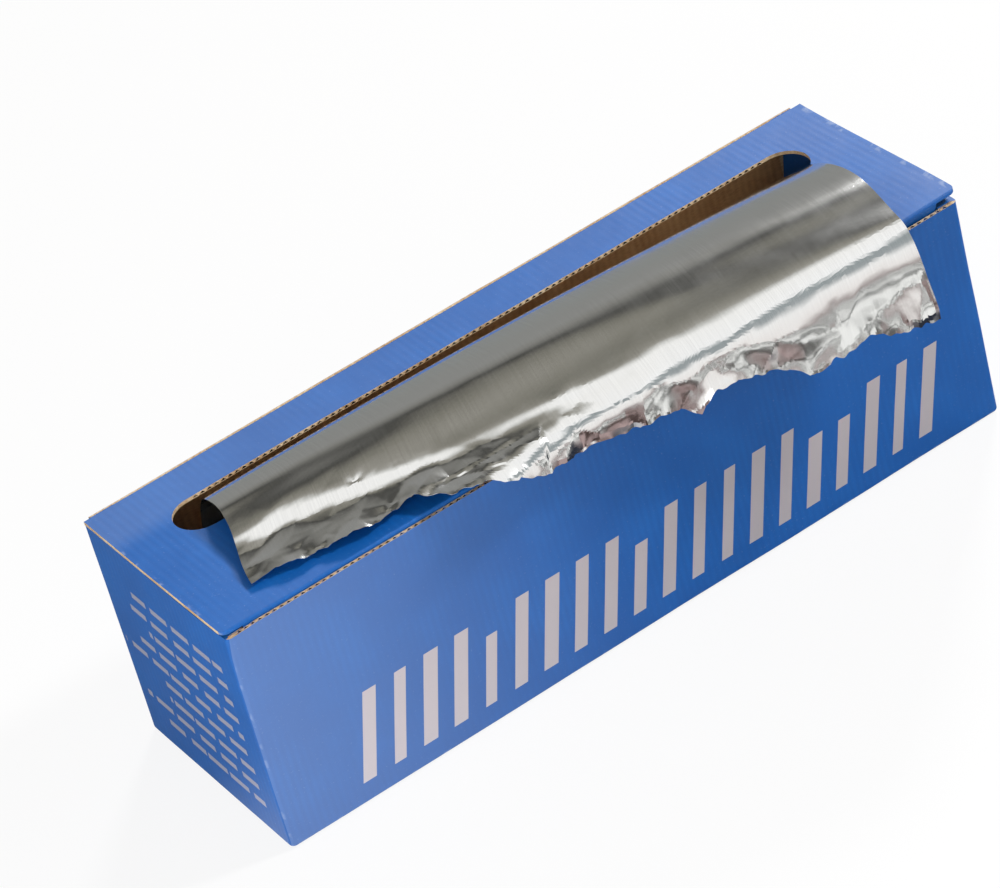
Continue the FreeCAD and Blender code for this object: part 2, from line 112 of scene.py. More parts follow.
class Graph:
    """A node tree written as short calls that hand sockets on."""

    def __init__(self, tree: bpy.types.NodeTree) -> None:
        """Empties the tree and keeps it."""
        self.tree = tree
        tree.nodes.clear()

    def put(self, target: Socket, value: object) -> None:
        """Links a socket to the target, or sets its value.

        Args:
            target: The input socket.
            value: Another node's output socket, a number or a colour.
        """
        if isinstance(value, bpy.types.NodeSocket):
            self.tree.links.new(value, target)
        elif isinstance(value, tuple) and len(value) == 3 and target.type == "RGBA":
            target.default_value = (*value, 1.0)
        else:
            target.default_value = value

    def add(self, kind: str, inputs: dict | None = None, **settings: object) -> bpy.types.Node:
        """Adds a node.

        Args:
            kind: The node's type, without its ShaderNode prefix.
            inputs: Values or sockets by input name or number.
            settings: The node's own properties.

        Returns:
            The node.
        """
        node = self.tree.nodes.new("ShaderNode" + kind)
        for name, value in settings.items():
            setattr(node, name, value)
        for name, value in (inputs or {}).items():
            self.put(node.inputs[name], value)
        return node

    def calc(self, operation: str, *values: object, clamp: bool = False) -> Socket:
        """Gives the result of one Math node."""
        node = self.add("Math", dict(enumerate(values)), operation=operation, use_clamp=clamp)
        return node.outputs[0]

    def chain(self, operation: str, values: Sequence[object]) -> Socket:
        """Joins values by one operation, from the first to the last.

        Args:
            operation: The Math node's operation.
            values: Two or more numbers or sockets.

        Returns:
            The result.
        """
        result = values[0]
        for value in values[1:]:
            result = self.calc(operation, result, value)
        return result

    def times(self, *values: object) -> Socket:
        """Multiplies the values."""
        return self.chain("MULTIPLY", values)

    def plus(self, *values: object) -> Socket:
        """Adds the values up."""
        return self.chain("ADD", values)

    def minus(self, value: object, other: object) -> Socket:
        """Takes the other value away from the first."""
        return self.calc("SUBTRACT", value, other)

    def over(self, value: object, other: object) -> Socket:
        """Divides the first value by the other."""
        return self.calc("DIVIDE", value, other)

    def above(self, value: object, limit: object) -> Socket:
        """Gives 1 where the value is more than the limit, otherwise 0."""
        return self.calc("GREATER_THAN", value, limit)

    def below(self, value: object, limit: object) -> Socket:
        """Gives 1 where the value is less than the limit, otherwise 0."""
        return self.calc("LESS_THAN", value, limit)

    def within(self, value: Socket, low: float, high: float) -> Socket:
        """Gives 1 where the value lies between low and high, otherwise 0."""
        return self.times(self.above(value, low), self.below(value, high))

    def span(self, value: Socket, low: float, high: float, first: float = 0.0, last: float = 1.0) -> Socket:
        """Maps value smoothly from the range low to high onto first to last."""
        inputs = {0: value, 1: low, 2: high, 3: first, 4: last}
        return self.add("MapRange", inputs, interpolation_type="SMOOTHSTEP").outputs[0]

    def ramp(self, value: Socket, stops: Sequence[tuple[float, Colour]]) -> Socket:
        """Gives a colour for each value, in straight steps from stop to stop.

        Args:
            value: The place on the ramp.
            stops: Places from 0 to 1, each with its colour.

        Returns:
            The colour.
        """
        node = self.add("ValToRGB", {0: value})
        band = node.color_ramp
        band.interpolation = "LINEAR"
        while len(band.elements) < len(stops):
            band.elements.new(1.0)
        for element, (place, colour) in zip(band.elements, stops):
            element.position = place
            element.color = (*colour, 1.0)
        return node.outputs[0]

    def blur(self, vector: Socket, scale: float, detail: float = 3.0, rough: float = 0.5) -> Socket:
        """Gives a noise texture's value, about 0 to 1."""
        node = self.add("TexNoise", {"Vector": vector, "Scale": scale, "Detail": detail, "Roughness": rough})
        return node.outputs[0]

    def draws(self, cell: Socket) -> tuple[Socket, Socket]:
        """Gives two random values for each whole number.

        Args:
            cell: The whole number.

        Returns:
            The two values, each from 0 to 1.
        """
        chance = self.add("TexWhiteNoise", {"W": cell}, noise_dimensions="1D").outputs["Color"]
        parts = self.add("SeparateXYZ", {0: chance}).outputs
        return parts[0], parts[1]

    def mix(self, share: object, first: object, second: object, kind: str = "MIX") -> Socket:
        """Mixes two colours.

        Args:
            share: How much of the second one shows, from 0 to 1.
            first: The colour under it.
            second: The colour over it.
            kind: The way that they mix.

        Returns:
            The mixed colour.
        """
        node = self.add("Mix", data_type="RGBA", blend_type=kind)
        self.put(node.inputs[0], share)
        self.put(node.inputs[6], first)
        self.put(node.inputs[7], second)
        return node.outputs[2]

    def stretch(self, vector: Socket, scale: tuple[float, float, float]) -> Socket:
        """Scales a vector, part by part."""
        return self.add("Mapping", {"Vector": vector, "Scale": scale}).outputs[0]

    def bump(self, height: Socket, distance: float, under: Socket | None = None) -> Socket:
        """Bumps a surface by a height field.

        Args:
            height: The field, from 0 to 1.
            distance: Its full height in metres.
            under: The normal that it adds to, where that isn't the mesh's own.

        Returns:
            The bumped normal.
        """
        inputs = {"Height": height, "Distance": distance, "Strength": 1.0}
        if under is not None:
            inputs["Normal"] = under
        return self.add("Bump", inputs).outputs[0]

    def place(self) -> Place:
        """Gives the object coordinates."""
        vector = self.add("TexCoord").outputs["Object"]
        return Place(vector, *self.add("SeparateXYZ", {0: vector}).outputs)

    def on_end(self) -> Socket:
        """Gives 1 on faces that look along x, as the object's ends do, otherwise 0."""
        facing = self.add("SeparateXYZ", {0: self.add("NewGeometry").outputs["Normal"]}).outputs[0]
        return self.above(self.calc("ABSOLUTE", facing), 0.7)

    def surface(self, **inputs: object) -> None:
        """Ends the tree in a Principled surface.

        Args:
            inputs: Values or sockets by input name, with a low line for each space.
        """
        shader = self.add("BsdfPrincipled")
        for name, value in inputs.items():
            self.put(shader.inputs[name.replace("_", " ")], value)
        output = self.add("OutputMaterial")
        self.put(output.inputs[0], shader.outputs[0])


def material(name: str) -> tuple[bpy.types.Material, Graph]:
    """Makes an empty material.

    Args:
        name: The material's name.

    Returns:
        The material and its node graph.
    """
    made = bpy.data.materials.new(name)
    made.use_nodes = True
    return made, Graph(made.node_tree)


# finishes


@dataclass(frozen=True)
class PrintFinish:
    """Blue ink over fluted board, with silver bars on the front and pale lines on the left end.

    A share is of the pitch that it goes with. A spread is how much of it chance adds.
    """

    blue: Colour = ink(4, 99, 182)
    deep: Colour = ink(1, 87, 166)
    paper: Colour = ink(214, 222, 232)
    silver: Colour = ink(204, 196, 199)
    roughness: float = 0.50
    half_length: float = HALF_LENGTH
    half_width: float = HALF_WIDTH
    height: float = HEIGHT
    skin: float = 0.001
    bar_pitch: float = 0.0147
    bar_slant: float = 0.27
    bar_share: float = 0.36
    bar_spread: float = 0.12
    bar_drop: float = 0.009
    tall_bars: float = 0.72
    bars_from: float = -0.1485
    bar_count: int = 20
    bars_low: float = 0.0095
    bars_high: float = 0.0495
    line_pitch: float = 0.0086
    line_low: float = 0.28
    line_high: float = 0.62
    lines_low: float = 0.0115
    lines_high: float = 0.0860
    lines_from: float = -0.0415
    lines_to: float = 0.050
    lines_spread: float = 0.030
    lines_missing: float = 0.1
    dash_pitch: float = 0.0165
    dash_shift: float = 0.05
    dash_share: float = 0.66
    dash_spread: float = 0.25
    line_thinness: float = 0.35
    flute_depth: float = 0.000016
    dent_depth: float = 0.00022
    grain_depth: float = 0.000012
    # How far the ink is lightened towards paper at the front's left end: painted sheen.
    painted_sheen: float = 0.12
    rubbing: float = 0.22

    def on_front(self, graph: Graph, at: Place) -> Socket:
        """Gives 1 on the front panel's outside, otherwise 0."""
        return graph.below(at.y, self.skin - self.half_width)

    def on_left(self, graph: Graph, at: Place) -> Socket:
        """Gives 1 on the left end's outside, otherwise 0."""
        return graph.below(at.x, self.skin - self.half_length)

    def front_bars(self, graph: Graph, at: Place) -> Socket:
        """Masks a row of slanted bars of varied width and height on the front panel.

        Args:
            graph: The material's graph.
            at: The place on the board.

        Returns:
            1 on a bar, otherwise 0.
        """
        upright = graph.minus(at.x, graph.times(at.z, self.bar_slant))
        count = graph.over(graph.minus(upright, self.bars_from), self.bar_pitch)
        cell = graph.calc("FLOOR", count)
        from_middle = graph.calc("ABSOLUTE", graph.minus(graph.calc("FRACT", count), 0.5))
        first, second = graph.draws(cell)
        width = graph.plus(graph.times(first, self.bar_spread), self.bar_share)
        bar = graph.below(from_middle, graph.over(width, 2.0))
        top = graph.minus(self.bars_high, graph.times(graph.above(second, self.tall_bars), self.bar_drop))
        tall = graph.times(graph.above(at.z, self.bars_low), graph.below(at.z, top))
        counted = graph.within(cell, -0.5, self.bar_count - 0.5)
        return graph.times(bar, tall, counted, self.on_front(graph, at))

    def end_lines(self, graph: Graph, at: Place) -> Socket:
        """Masks thin broken lines on the left end panel.

        Args:
            graph: The material's graph.
            at: The place on the board.

        Returns:
            1 on a line, otherwise 0.
        """
        count = graph.over(graph.minus(at.z, self.lines_low), self.line_pitch)
        row = graph.calc("FLOOR", count)
        thick = graph.within(graph.calc("FRACT", count), self.line_low, self.line_high)
        first, second = graph.draws(row)
        run = graph.over(graph.plus(at.y, graph.times(first, self.dash_shift)), self.dash_pitch)
        pair = graph.add("CombineXYZ", {0: graph.calc("FLOOR", run), 1: row}).outputs[0]
        gap = graph.add("TexWhiteNoise", {"Vector": pair}, noise_dimensions="2D").outputs["Value"]
        dash = graph.plus(graph.times(gap, self.dash_spread), self.dash_share)
        piece = graph.below(graph.calc("FRACT", run), dash)
        reach = graph.minus(self.lines_to, graph.times(first, self.lines_spread))
        long = graph.times(graph.above(at.y, self.lines_from), graph.below(at.y, reach))
        shown = graph.above(second, self.lines_missing)
        tall = graph.within(at.z, self.lines_low, self.lines_high)
        return graph.times(piece, thick, long, shown, tall, self.on_left(graph, at))

    def near_fold(self, graph: Graph, at: Place) -> Socket:
        """Gives the distance to the box's nearest edge line, from the two nearest planes.

        Args:
            graph: The material's graph.
            at: The place on the board.

        Returns:
            The distance in metres.
        """
        ends = graph.minus(self.half_length, graph.calc("ABSOLUTE", at.x))
        sides = graph.minus(self.half_width, graph.calc("ABSOLUTE", at.y))
        levels = graph.calc("MINIMUM", at.z, graph.minus(self.height, at.z))
        nearest = graph.chain("MINIMUM", (ends, sides, levels))
        farthest = graph.chain("MAXIMUM", (ends, sides, levels))
        return graph.minus(graph.plus(ends, sides, levels), graph.plus(nearest, farthest))

    def flutes(self, graph: Graph, at: Place) -> Socket:
        """Gives the flutes that show faintly through the liner, here and there more.

        They are crossed along the carton on its long panels, and from front to rear on its ends.

        Args:
            graph: The material's graph.
            at: The place on the board.

        Returns:
            The flutes' height, from 0 to 1.
        """
        across = graph.plus(at.x, graph.times(graph.minus(at.y, at.x), graph.on_end()))
        wander = graph.times(graph.blur(at.vector, 9.0), 1.6)
        turn = graph.plus(graph.times(across, math.tau / FLUTE_PITCH), wander)
        wave = graph.calc("MULTIPLY_ADD", graph.calc("SINE", turn), 0.5, 0.5)
        return graph.times(wave, graph.span(graph.blur(at.vector, 23.0), 0.36, 0.66, 0.25, 1.0))

    def inked(self, graph: Graph, flutes: Socket, patchy: Socket, fine: Socket) -> Socket:
        """Gives the ink's colour: deeper in patches and between flutes, with paper fibres in it.

        Args:
            graph: The material's graph.
            flutes: The flutes' height.
            patchy: A coarse noise.
            fine: A fine noise.

        Returns:
            The colour.
        """
        tone = graph.plus(graph.times(patchy, 0.9), graph.times(flutes, 0.16))
        colour = graph.mix(graph.span(tone, 0.3, 0.95), self.deep, self.blue)
        return graph.mix(graph.times(graph.span(fine, 0.60, 0.75), 0.10), colour, self.paper)

    def worn(self, graph: Graph, colour: Socket, at: Place) -> Socket:
        """Rubs the ink along the folds as wear, and lightens it towards the left on the front and on the
        rear strip as painted sheen.

        Args:
            graph: The material's graph.
            colour: The ink's colour.
            at: The place on the board.

        Returns:
            The worn colour.
        """
        by_fold = graph.span(self.near_fold(graph, at), 0.0016, 0.0002)
        rub = graph.times(by_fold, graph.span(graph.blur(at.vector, 160.0, 4.0), 0.52, 0.64))
        colour = graph.mix(graph.times(rub, self.rubbing), colour, self.paper)
        # Painted sheen: on the left of the front panel and on the rear strip, the ink is lightened towards
        # paper in place of the gloss haze that light gives there.
        at_rear = graph.times(graph.above(at.z, self.height - self.skin), graph.span(at.y, 0.020, 0.034))
        places = graph.calc("MULTIPLY_ADD", at_rear, 0.6, self.on_front(graph, at))
        painted_sheen_share = graph.times(graph.span(at.x, 0.03, -self.half_length, 0.0, self.painted_sheen), places)
        return graph.mix(painted_sheen_share, colour, self.paper)

    def build(self) -> bpy.types.Material:
        """Makes the printed board's material.

        Returns:
            The material.
        """
        made, graph = material("printed_board")
        at = graph.place()
        flutes = self.flutes(graph, at)
        patchy = graph.blur(at.vector, 34.0, 5.0, 0.6)
        fine = graph.blur(at.vector, 900.0, 4.0, 0.62)
        colour = self.worn(graph, self.inked(graph, flutes, patchy, fine), at)
        silver = graph.calc("ADD", self.front_bars(graph, at), self.end_lines(graph, at), clamp=True)
        thin = graph.calc("MULTIPLY_ADD", self.on_left(graph, at), -self.line_thinness, 1.0)
        solid = graph.times(silver, thin, graph.span(fine, 0.80, 0.60, 0.82, 1.0))
        normal = graph.bump(flutes, self.flute_depth)
        normal = graph.bump(graph.blur(at.vector, 60.0, 2.0), self.dent_depth, normal)
        normal = graph.bump(fine, self.grain_depth, normal)
        graph.surface(
            Base_Color=graph.mix(solid, colour, self.silver),
            Metallic=graph.times(silver, 0.35),
            Roughness=graph.plus(graph.times(patchy, 0.12), self.roughness - 0.06),
            Normal=normal,
            Specular_IOR_Level=0.45,
        )
        return made


@dataclass(frozen=True)
class KraftFinish:
    """Bare brown liner with fibres and the ghost of the flutes."""

    name: str = "kraft_liner"
    light: Colour = ink(216, 170, 118)
    dark: Colour = ink(178, 132, 86)
    roughness: float = 0.78
    relief: float = 0.00004

    def build(self) -> bpy.types.Material:
        """Makes the bare liner's material.

        Returns:
            The material.
        """
        made, graph = material(self.name)
        vector, x, _, _ = graph.place()
        fibres = graph.blur(graph.stretch(vector, (1.0, 5.0, 5.0)), 420.0, 5.0, 0.65)
        blotch = graph.blur(vector, 60.0, 4.0)
        wave = graph.calc("SINE", graph.times(x, math.tau / FLUTE_PITCH))
        tone = graph.plus(graph.times(fibres, 0.6), graph.times(blotch, 0.5), graph.times(wave, 0.03))
        colour = graph.mix(graph.span(tone, 0.35, 0.78), self.dark, self.light)
        normal = graph.bump(wave, self.relief)
        normal = graph.bump(fibres, self.relief, normal)
        graph.surface(Base_Color=colour, Roughness=self.roughness, Normal=normal)
        return made


@dataclass(frozen=True)
class FoilFinish:
    """Satin rolled aluminium with fine lines along its length and small creases, on the sheet's own map."""

    metal: Colour = (0.86, 0.865, 0.86)
    shade: float = 0.93
    roughness: float = 0.13
    line_depth: float = 0.0000015
    crease_depth: float = 0.000012

    def build(self) -> bpy.types.Material:
        """Makes the drawn-out foil's material.

        Returns:
            The material.
        """
        made, graph = material("foil")
        vector = graph.add("UVMap", uv_map="sheet").outputs[0]
        rolled = graph.blur(graph.stretch(vector, (260.0, 3.0, 1.0)), 1.0, 3.0, 0.6)
        cloudy = graph.blur(vector, 7.0, 3.0, 0.5)
        small = graph.blur(vector, 60.0, 4.0, 0.55)
        shaded = tuple(part * self.shade for part in self.metal)
        colour = graph.mix(graph.span(rolled, 0.3, 0.7), shaded, self.metal)
        streaks = graph.times(graph.minus(rolled, 0.5), 0.06)
        clouds = graph.calc("MULTIPLY_ADD", cloudy, 0.08, self.roughness - 0.04)
        normal = graph.bump(rolled, self.line_depth)
        normal = graph.bump(small, self.crease_depth, normal)
        graph.surface(Base_Color=colour, Metallic=1.0, Roughness=graph.plus(streaks, clouds), Normal=normal)
        return made


@dataclass(frozen=True)
class WoundFinish:
    """The wound roll: satin outside, and fine rings of foil edges on its two ends."""

    metal: Colour = (0.80, 0.805, 0.80)
    between: Colour = (0.34, 0.345, 0.35)
    rings_in_a_metre: float = 2600.0
    line_depth: float = 0.00003
    dent_depth: float = 0.0004

    def build(self) -> bpy.types.Material:
        """Makes the wound roll's material.

        Returns:
            The material.
        """
        made, graph = material("wound_foil")
        vector, _, y, z = graph.place()
        up = graph.minus(z, ROLL_AXIS)
        radius = graph.calc("SQRT", graph.plus(graph.times(y, y), graph.times(up, up)))
        spacing = {"W": graph.times(radius, self.rings_in_a_metre), "Scale": 1.0, "Detail": 4.0}
        rings = graph.add("TexNoise", spacing, noise_dimensions="1D").outputs[0]
        lines = graph.blur(graph.stretch(vector, (900.0, 14.0, 14.0)), 1.0, 3.0)
        soft = graph.blur(vector, 40.0, 3.0)
        on_end = graph.on_end()
        colour = graph.mix(graph.times(on_end, graph.span(rings, 0.3, 0.7)), self.metal, self.between)
        rough = graph.plus(graph.times(on_end, 0.18), graph.calc("MULTIPLY_ADD", soft, 0.1, 0.2))
        normal = graph.bump(graph.mix(on_end, lines, rings), self.line_depth)
        normal = graph.bump(soft, self.dent_depth, normal)
        graph.surface(Base_Color=colour, Metallic=1.0, Roughness=rough, Normal=normal)
        return made


@dataclass(frozen=True)
class TubeFinish:
    """Grey-brown wound paper with its spiral seam."""

    light: Colour = ink(186, 170, 146)
    dark: Colour = ink(150, 132, 108)
    roughness: float = 0.82
    seam_pitch: float = 0.075
    seam_share: float = 0.02
    seam_depth: float = 0.00012
    fibre_depth: float = 0.00004

    def build(self) -> bpy.types.Material:
        """Makes the paper tube's material.

        Returns:
            The material.
        """
        made, graph = material("tube_paper")
        vector, x, y, z = graph.place()
        angle = graph.calc("ARCTAN2", graph.minus(z, ROLL_AXIS), y)
        turns = graph.plus(graph.over(x, self.seam_pitch), graph.over(angle, math.tau))
        line = graph.span(graph.calc("PINGPONG", turns, 0.5), 0.0, self.seam_share)
        fibres = graph.blur(graph.stretch(vector, (1.0, 3.0, 3.0)), 500.0, 5.0, 0.65)
        colour = graph.mix(graph.span(fibres, 0.3, 0.7), self.dark, self.light)
        colour = graph.mix(line, self.dark, colour, "MULTIPLY")
        normal = graph.bump(line, self.seam_depth)
        normal = graph.bump(fibres, self.fibre_depth, normal)
        graph.surface(Base_Color=colour, Roughness=self.roughness, Normal=normal)
        return made


# shaping helpers


def choose(piece: bpy.types.Object) -> None:
    """Leaves this piece alone selected and active.

    Args:
        piece: The piece.
    """
    bpy.ops.object.select_all(action="DESELECT")
    piece.select_set(True)
    bpy.context.view_layer.objects.active = piece


def open_up(piece: bpy.types.Object) -> None:
    """Enters edit mode on this piece alone, with all of it selected.

    Args:
        piece: The piece.
    """
    choose(piece)
    bpy.ops.object.mode_set(mode="EDIT")
    bpy.ops.mesh.select_all(action="SELECT")


def copy_of(node: str, name: str) -> bpy.types.Object:
    """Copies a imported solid's mesh into a new piece and merges its loose triangles.

    Args:
        node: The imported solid's name.
        name: The new piece's name.

    Returns:
        The new piece, with shared vertices and no materials.
    """
    source = FRAME["nodes"][node]
    mesh = source.data.copy()
    mesh.name = name
    mesh.transform(source.matrix_world)
    mesh.materials.clear()
    piece = bpy.data.objects.new(name, mesh)
    bpy.context.scene.collection.objects.link(piece)
    choose(piece)
    if mesh.has_custom_normals:
        bpy.ops.mesh.customdata_custom_splitnormals_clear()
    open_up(piece)
    bpy.ops.mesh.remove_doubles(threshold=0.000004)
    bpy.ops.mesh.normals_make_consistent(inside=False)
    bpy.ops.object.mode_set(mode="OBJECT")
    return piece


def slice_up(piece: bpy.types.Object, axis: int, stops: Iterable[float]) -> None:
    """Cuts a piece's faces by planes across one axis, so that it can be bent.

    Args:
        piece: The piece.
        axis: 0, 1 or 2 for x, y or z.
        stops: Where the planes stand on that axis.
    """
    open_up(piece)
    normal = [0.0, 0.0, 0.0]
    normal[axis] = 1.0
    for stop in stops:
        bpy.ops.mesh.select_all(action="SELECT")
        bpy.ops.mesh.bisect(plane_co=[stop * part for part in normal], plane_no=normal)
    bpy.ops.object.mode_set(mode="OBJECT")


def smooth(piece: bpy.types.Object, angle: float) -> None:
    """Shades a piece smooth across edges that turn less than angle, in degrees."""
    choose(piece)
    bpy.ops.object.shade_smooth_by_angle(angle=math.radians(angle))


def move_points(piece: bpy.types.Object, rule: Callable[[Vector], Vector]) -> None:
    """Moves each vertex of a piece.

    Args:
        piece: The piece.
        rule: Gives a vertex's new place for its old one.
    """
    for vertex in piece.data.vertices:
        vertex.co = rule(vertex.co.copy())
    piece.data.update()


def ease(value: float, low: float, high: float) -> float:
    """Gives a smooth step from 0 at low to 1 at high."""
    share = min(max((value - low) / (high - low), 0.0), 1.0)
    return share * share * (3 - 2 * share)


def eased(places: Grid, table: Sequence[Sequence[float]]) -> Grid:
    """Reads a table at these places, with smooth steps between its stations.

    Args:
        places: Where the table is read.
        table: The stations, and the value at each of them.

    Returns:
        The value at each place.
    """
    stations, values = np.array(table)
    span = np.clip(np.searchsorted(stations, places) - 1, 0, len(stations) - 2)
    share = np.clip((places - stations[span]) / (stations[span + 1] - stations[span]), 0, 1)
    return values[span] + (values[span + 1] - values[span]) * share * share * (3 - 2 * share)


def every(step: float, low: float, high: float) -> list[float]:
    """Gives places about a step apart between low and high."""
    count = int((high - low) / step)
    return [low + (high - low) * (i + 1) / (count + 1) for i in range(count)]


# the carton and its lid


class BoardFace(IntEnum):
    """What a face of the board shows."""

    PRINT = 0
    KRAFT = 1
    EDGE = 2
    # The flute openings, which take a near-black liner as painted shade inside the flutes.
    MOUTH = 3


@dataclass
class Board:
    """The folded board that both the carton and its lid are made of."""

    half_length: float = HALF_LENGTH
    half_width: float = HALF_WIDTH
    height: float = HEIGHT
    board: float = 0.0016
    smooth_angle: float = 28.0
    wide_waves: tuple = (16.0, 0.00030)
    small_waves: tuple = (45.0, 0.00010)

    def unevenness(self, point: Vector) -> Vector:
        """Shifts a point by the slight waviness of real board.

        Args:
            point: The point.

        Returns:
            Its shifted place.
        """
        moved = point.copy()
        for number, depth in (self.wide_waves, self.small_waves):
            moved += noise.noise_vector(point * number) * depth
        return moved

    def paint(
        self,
        piece: bpy.types.Object,
        rule: Callable[[Vector, Vector], BoardFace],
        finishes: Sequence[bpy.types.Material],
    ) -> None:
        """Gives each face its finish.

        Args:
            piece: The piece.
            rule: Says what a face shows, from its centre and normal.
            finishes: The materials in the order of BoardFace.
        """
        for finish in finishes:
            piece.data.materials.append(finish)
        for face in piece.data.polygons:
            face.material_index = int(rule(face.center, face.normal))


@dataclass
class Carton(Board):
    """Front, base, rear and end walls, with the strips and flaps under the lid.

    The depths are measured inwards or down from the box's outside.
    """

    skin: float = 0.0008
    strip: float = 0.0096
    strip_end: float = 0.0012
    strip_depth: float = 0.004
    flap_outside: float = 0.0035
    flap_inside: float = 0.018
    flap_depth: float = 0.040
    rim_level: float = 0.09
    rim_inside: float = 0.0022
    flutes_outside: float = 0.00022
    flutes_inside: float = 0.00138
    mouth_depth: float = 0.0032
    crush_depth: float = 0.003
    crush_reach: float = 0.014
    crush_shift: tuple = (0.0010, 0.0007, -0.0013)

    def shows(self, centre: Vector, normal: Vector) -> BoardFace:
        """Says whether a face is printed, bare, a cut edge or a flute mouth drawn dark as painted shade.

        Args:
            centre: The face's centre.
            normal: The face's normal.

        Returns:
            What it shows.
        """
        side = math.copysign(1.0, centre.x)
        from_end = self.half_length - abs(centre.x)
        from_side = self.half_width - abs(centre.y)
        from_top = self.height - centre.z
        outward_x = from_end < self.skin and normal.x * side > 0.3
        outward_y = from_side < self.skin and normal.y * centre.y > 0 and abs(normal.y) > 0.3
        downward = centre.z < self.skin and normal.z < -0.3
        if outward_x or outward_y or downward:
            return BoardFace.PRINT
        on_strip = from_end < self.strip and from_side > self.strip_end and from_top < self.strip_depth
        if on_strip and normal.z > 0.3:
            return BoardFace.PRINT
        hanging = self.flap_outside < from_end < self.flap_inside and from_top < self.flap_depth
        if hanging and normal.x * side < -0.5:
            return BoardFace.PRINT
        by_rim = centre.z > self.rim_level
        buried = self.flutes_outside < from_side < self.flutes_inside
        if by_rim and buried and (abs(normal.x) > 0.5 or from_top > self.mouth_depth):
            return BoardFace.MOUTH
        if by_rim and from_side < self.rim_inside and normal.z > 0.6:
            return BoardFace.EDGE
        if hanging and (abs(normal.y) > 0.7 or normal.z < -0.7):
            return BoardFace.EDGE
        return BoardFace.KRAFT

    def worn(self, point: Vector) -> Vector:
        """Shifts a point by the board's waviness and the crushed left front corner.

        Args:
            point: The point.

        Returns:
            Its worn place.
        """
        corner = Vector((-self.half_length, -self.half_width, self.height - self.crush_depth))
        crush = 1 - ease((point - corner).length, 0.0, self.crush_reach)
        return self.unevenness(point) + Vector(self.crush_shift) * crush

    def build(self, finishes: Sequence[bpy.types.Material]) -> bpy.types.Object:
        """Makes the carton's piece.

        Args:
            finishes: The materials in the order of BoardFace.

        Returns:
            The piece.
        """
        piece = copy_of("carton", "carton_board")
        slice_up(piece, 0, every(0.014, -self.half_length, self.half_length))
        slice_up(piece, 1, every(0.012, -self.half_width, self.half_width))
        slice_up(piece, 2, every(0.012, 0.0, self.height))
        self.paint(piece, self.shows, finishes)
        move_points(piece, self.worn)
        smooth(piece, self.smooth_angle)
        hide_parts("carton")
        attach(piece, "carton")
        return piece


@dataclass
class Lid(Board):
    """The top panel with its dispensing slot, and the tuck flap behind the front wall."""

    right_edge: float = 0.1795
    slot_front: float = 0.009
    slot_rear: float = 0.032
    slot_margin: float = 0.0006
    print_depth: float = 0.0009
    panel_depth: float = 0.0035
    fold_inside: float = 0.0042
    lift: float = 0.0030
    left_lift: float = 0.0005

    def shows(self, centre: Vector, normal: Vector) -> BoardFace:
        """Says whether a face is printed, bare, a cut edge or a flute mouth drawn dark as painted shade.

        Args:
            centre: The face's centre.
            normal: The face's normal.

        Returns:
            What it shows.
        """
        from_top = self.height - centre.z
        if normal.z > 0.4 and from_top < self.print_depth:
            return BoardFace.PRINT
        if from_top < self.panel_depth:
            if centre.y < self.fold_inside - self.half_width and normal.y < -0.15:
                return BoardFace.PRINT
            if normal.z < -0.4 and from_top > self.board - 0.0001:
                return BoardFace.KRAFT
            on_slot = self.slot_front - self.slot_margin < centre.y < self.slot_rear + self.slot_margin
            if on_slot or abs(centre.x) > self.half_length - 0.0002:
                return BoardFace.EDGE
            return BoardFace.MOUTH
        if normal.y < -0.6:
            return BoardFace.PRINT
        if normal.y > 0.6:
            return BoardFace.KRAFT
        return BoardFace.EDGE

    def warped(self, point: Vector) -> Vector:
        """Lifts the front corners and adds the board's waviness, fading to the hinge.

        Args:
            point: The point.

        Returns:
            Its warped place.
        """
        free = 1 - ease(point.y, 0.030, 0.052)
        moved = point + (self.unevenness(point) - point) * free
        forward = 1 - ease(point.y, -0.050, 0.050)
        moved.z += self.lift * ease(point.x, 0.085, self.right_edge) * forward
        moved.z += self.left_lift * ease(-point.x, 0.13, self.half_length) * forward
        return moved

    def build(self, finishes: Sequence[bpy.types.Material]) -> bpy.types.Object:
        """Makes the lid's piece.

        Args:
            finishes: The materials in the order of BoardFace.

        Returns:
            The piece.
        """
        piece = copy_of("lid", "lid_board")
        slice_up(piece, 0, every(0.010, -self.half_length, self.right_edge))
        slice_up(piece, 1, every(0.010, -self.half_width, self.half_width))
        self.paint(piece, self.shows, finishes)
        move_points(piece, self.warped)
        smooth(piece, self.smooth_angle)
        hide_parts("lid")
        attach(piece, "lid")
        return piece


# the wound roll and its tube


@dataclass
class WoundRoll:
    """The turns of foil and the paper tube in them."""

    smooth_angle: float = 32.0

    def build(self, foil: bpy.types.Material, paper: bpy.types.Material) -> list[bpy.types.Object]:
        """Makes the roll's and the tube's pieces.

        Args:
            foil: The wound foil's material.
            paper: The tube's material.

        Returns:
            The two pieces.
        """
        made = []
        for node, name, finish, slot in (
            ("foil_roll", "wound_foil", foil, "foil"),
            ("core", "paper_tube", paper, "tube_paper"),
        ):
            piece = copy_of(node, name)
            piece.data.materials.append(finish)
            smooth(piece, self.smooth_angle)
            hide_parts(node)
            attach(piece, "carton")
            made.append(piece)
        return made


# the drawn-out foil


